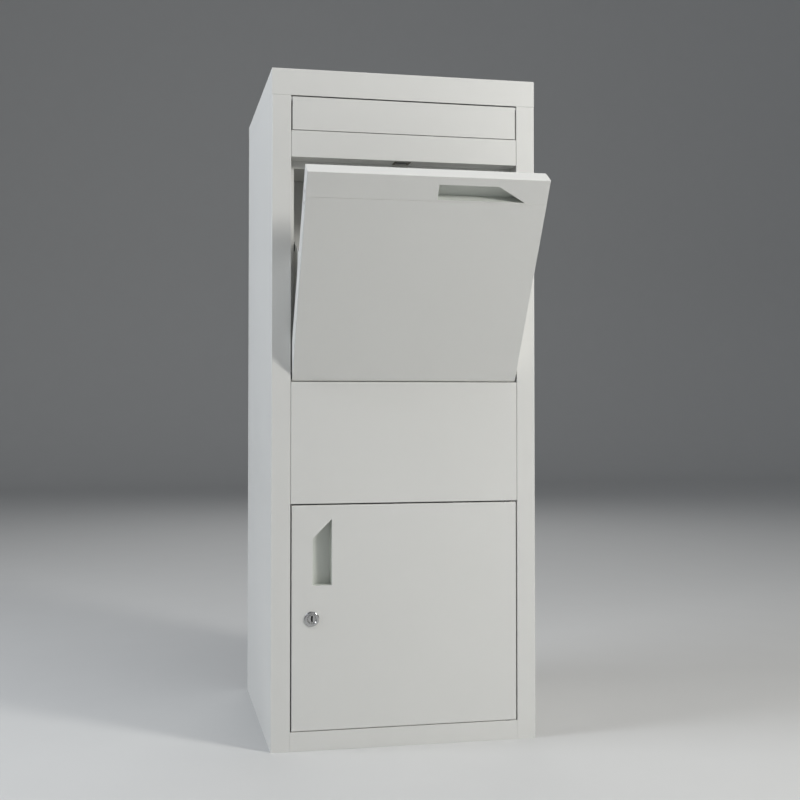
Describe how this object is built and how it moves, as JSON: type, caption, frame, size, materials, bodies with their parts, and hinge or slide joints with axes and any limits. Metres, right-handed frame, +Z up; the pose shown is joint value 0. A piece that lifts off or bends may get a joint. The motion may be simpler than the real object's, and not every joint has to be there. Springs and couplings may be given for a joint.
{
  "type": "parcel drop box",
  "caption": "Free-standing sheet-steel parcel drop box with a push-in letter flap, a tilting parcel drawer and a locked collection door.",
  "frame": {"origin": "centre of the base on the floor", "axes": "+Z up, +X to the right seen from the front, the front faces -Y"},
  "size_m": [0.41, 0.584, 1.02],
  "materials": {
    "powder_coated_steel": "satin fine-texture powder coat, off-white",
    "zinc_plated_steel": "zinc plated",
    "aluminium_rivet": "blind rivet, bright",
    "acetal": "black acetal",
    "rubber_black": "matt black rubber",
    "lock_chrome": "polished chrome plate",
    "catch_plastic": "brown moulded housing",
    "magnet_iron": "sintered ferrite, matt"
  },
  "bodies": {
    "cabinet": {"left_side_panel": "powder_coated_steel", "right_side_panel": "powder_coated_steel", "back_panel": "powder_coated_steel", "back_panel_rivets": "aluminium_rivet", "floor_pan": "powder_coated_steel", "bottom_rail": "powder_coated_steel", "middle_panel": "powder_coated_steel", "cross_strip": "powder_coated_steel", "roof_cap": "powder_coated_steel", "cap_screws": "zinc_plated_steel", "letter_ramp": "powder_coated_steel", "rear_baffle": "powder_coated_steel", "catch_housing": "catch_plastic", "catch_magnet": "magnet_iron", "catch_pole_plates": "zinc_plated_steel", "catch_screws": "zinc_plated_steel", "door_buffers": "rubber_black", "flap_hinge_rod": "zinc_plated_steel", "flap_rod_caps": "zinc_plated_steel", "drawer_pivot_pins": "zinc_plated_steel", "door_hinge_bushes": "acetal"},
    "flap": {"letter_flap": "powder_coated_steel", "flap_spring": "zinc_plated_steel"},
    "drawer": {"drawer_front": "powder_coated_steel", "drawer_handle_strip": "powder_coated_steel", "drawer_hand_recess": "powder_coated_steel", "drawer_rivets": "aluminium_rivet", "left_cheek": "powder_coated_steel", "right_cheek": "powder_coated_steel", "drawer_stop_buffers": "rubber_black", "hopper_tray": "powder_coated_steel", "drawer_pivot_bushes": "acetal"},
    "door": {"door_front": "powder_coated_steel", "door_hand_recess": "powder_coated_steel", "door_stiffener": "powder_coated_steel", "door_hinge_pins": "zinc_plated_steel", "lock_barrel": "lock_chrome", "lock_nut": "zinc_plated_steel"},
    "lock": {"lock_plug": "lock_chrome", "lock_cam": "zinc_plated_steel", "cam_bolt": "zinc_plated_steel"}
  },
  "joints": [
    {"name": "drawer_tilt", "type": "hinge", "parent": "cabinet", "child": "drawer", "pos_m": [0, -0.199, 0.558], "axis": [1, 0, 0], "range_deg": [-32, 0]},
    {"name": "letter_flap_swing", "type": "hinge", "parent": "cabinet", "child": "flap", "pos_m": [0, -0.2, 0.973], "axis": [1, 0, 0], "range_deg": [0, 70], "stiffness_Nm_per_rad": 0.02, "springref_deg": -20.05, "deforming": ["flap_spring"]},
    {"name": "door_swing", "type": "hinge", "parent": "cabinet", "child": "door", "pos_m": [0.162, -0.199, 0.197], "axis": [0, 0, 1], "range_deg": [0, 115]},
    {"name": "lock_turn", "type": "hinge", "parent": "door", "child": "lock", "pos_m": [-0.1437, -0.19, 0.1953], "axis": [0, 1, 0], "range_deg": [0, 90]}
  ]
}
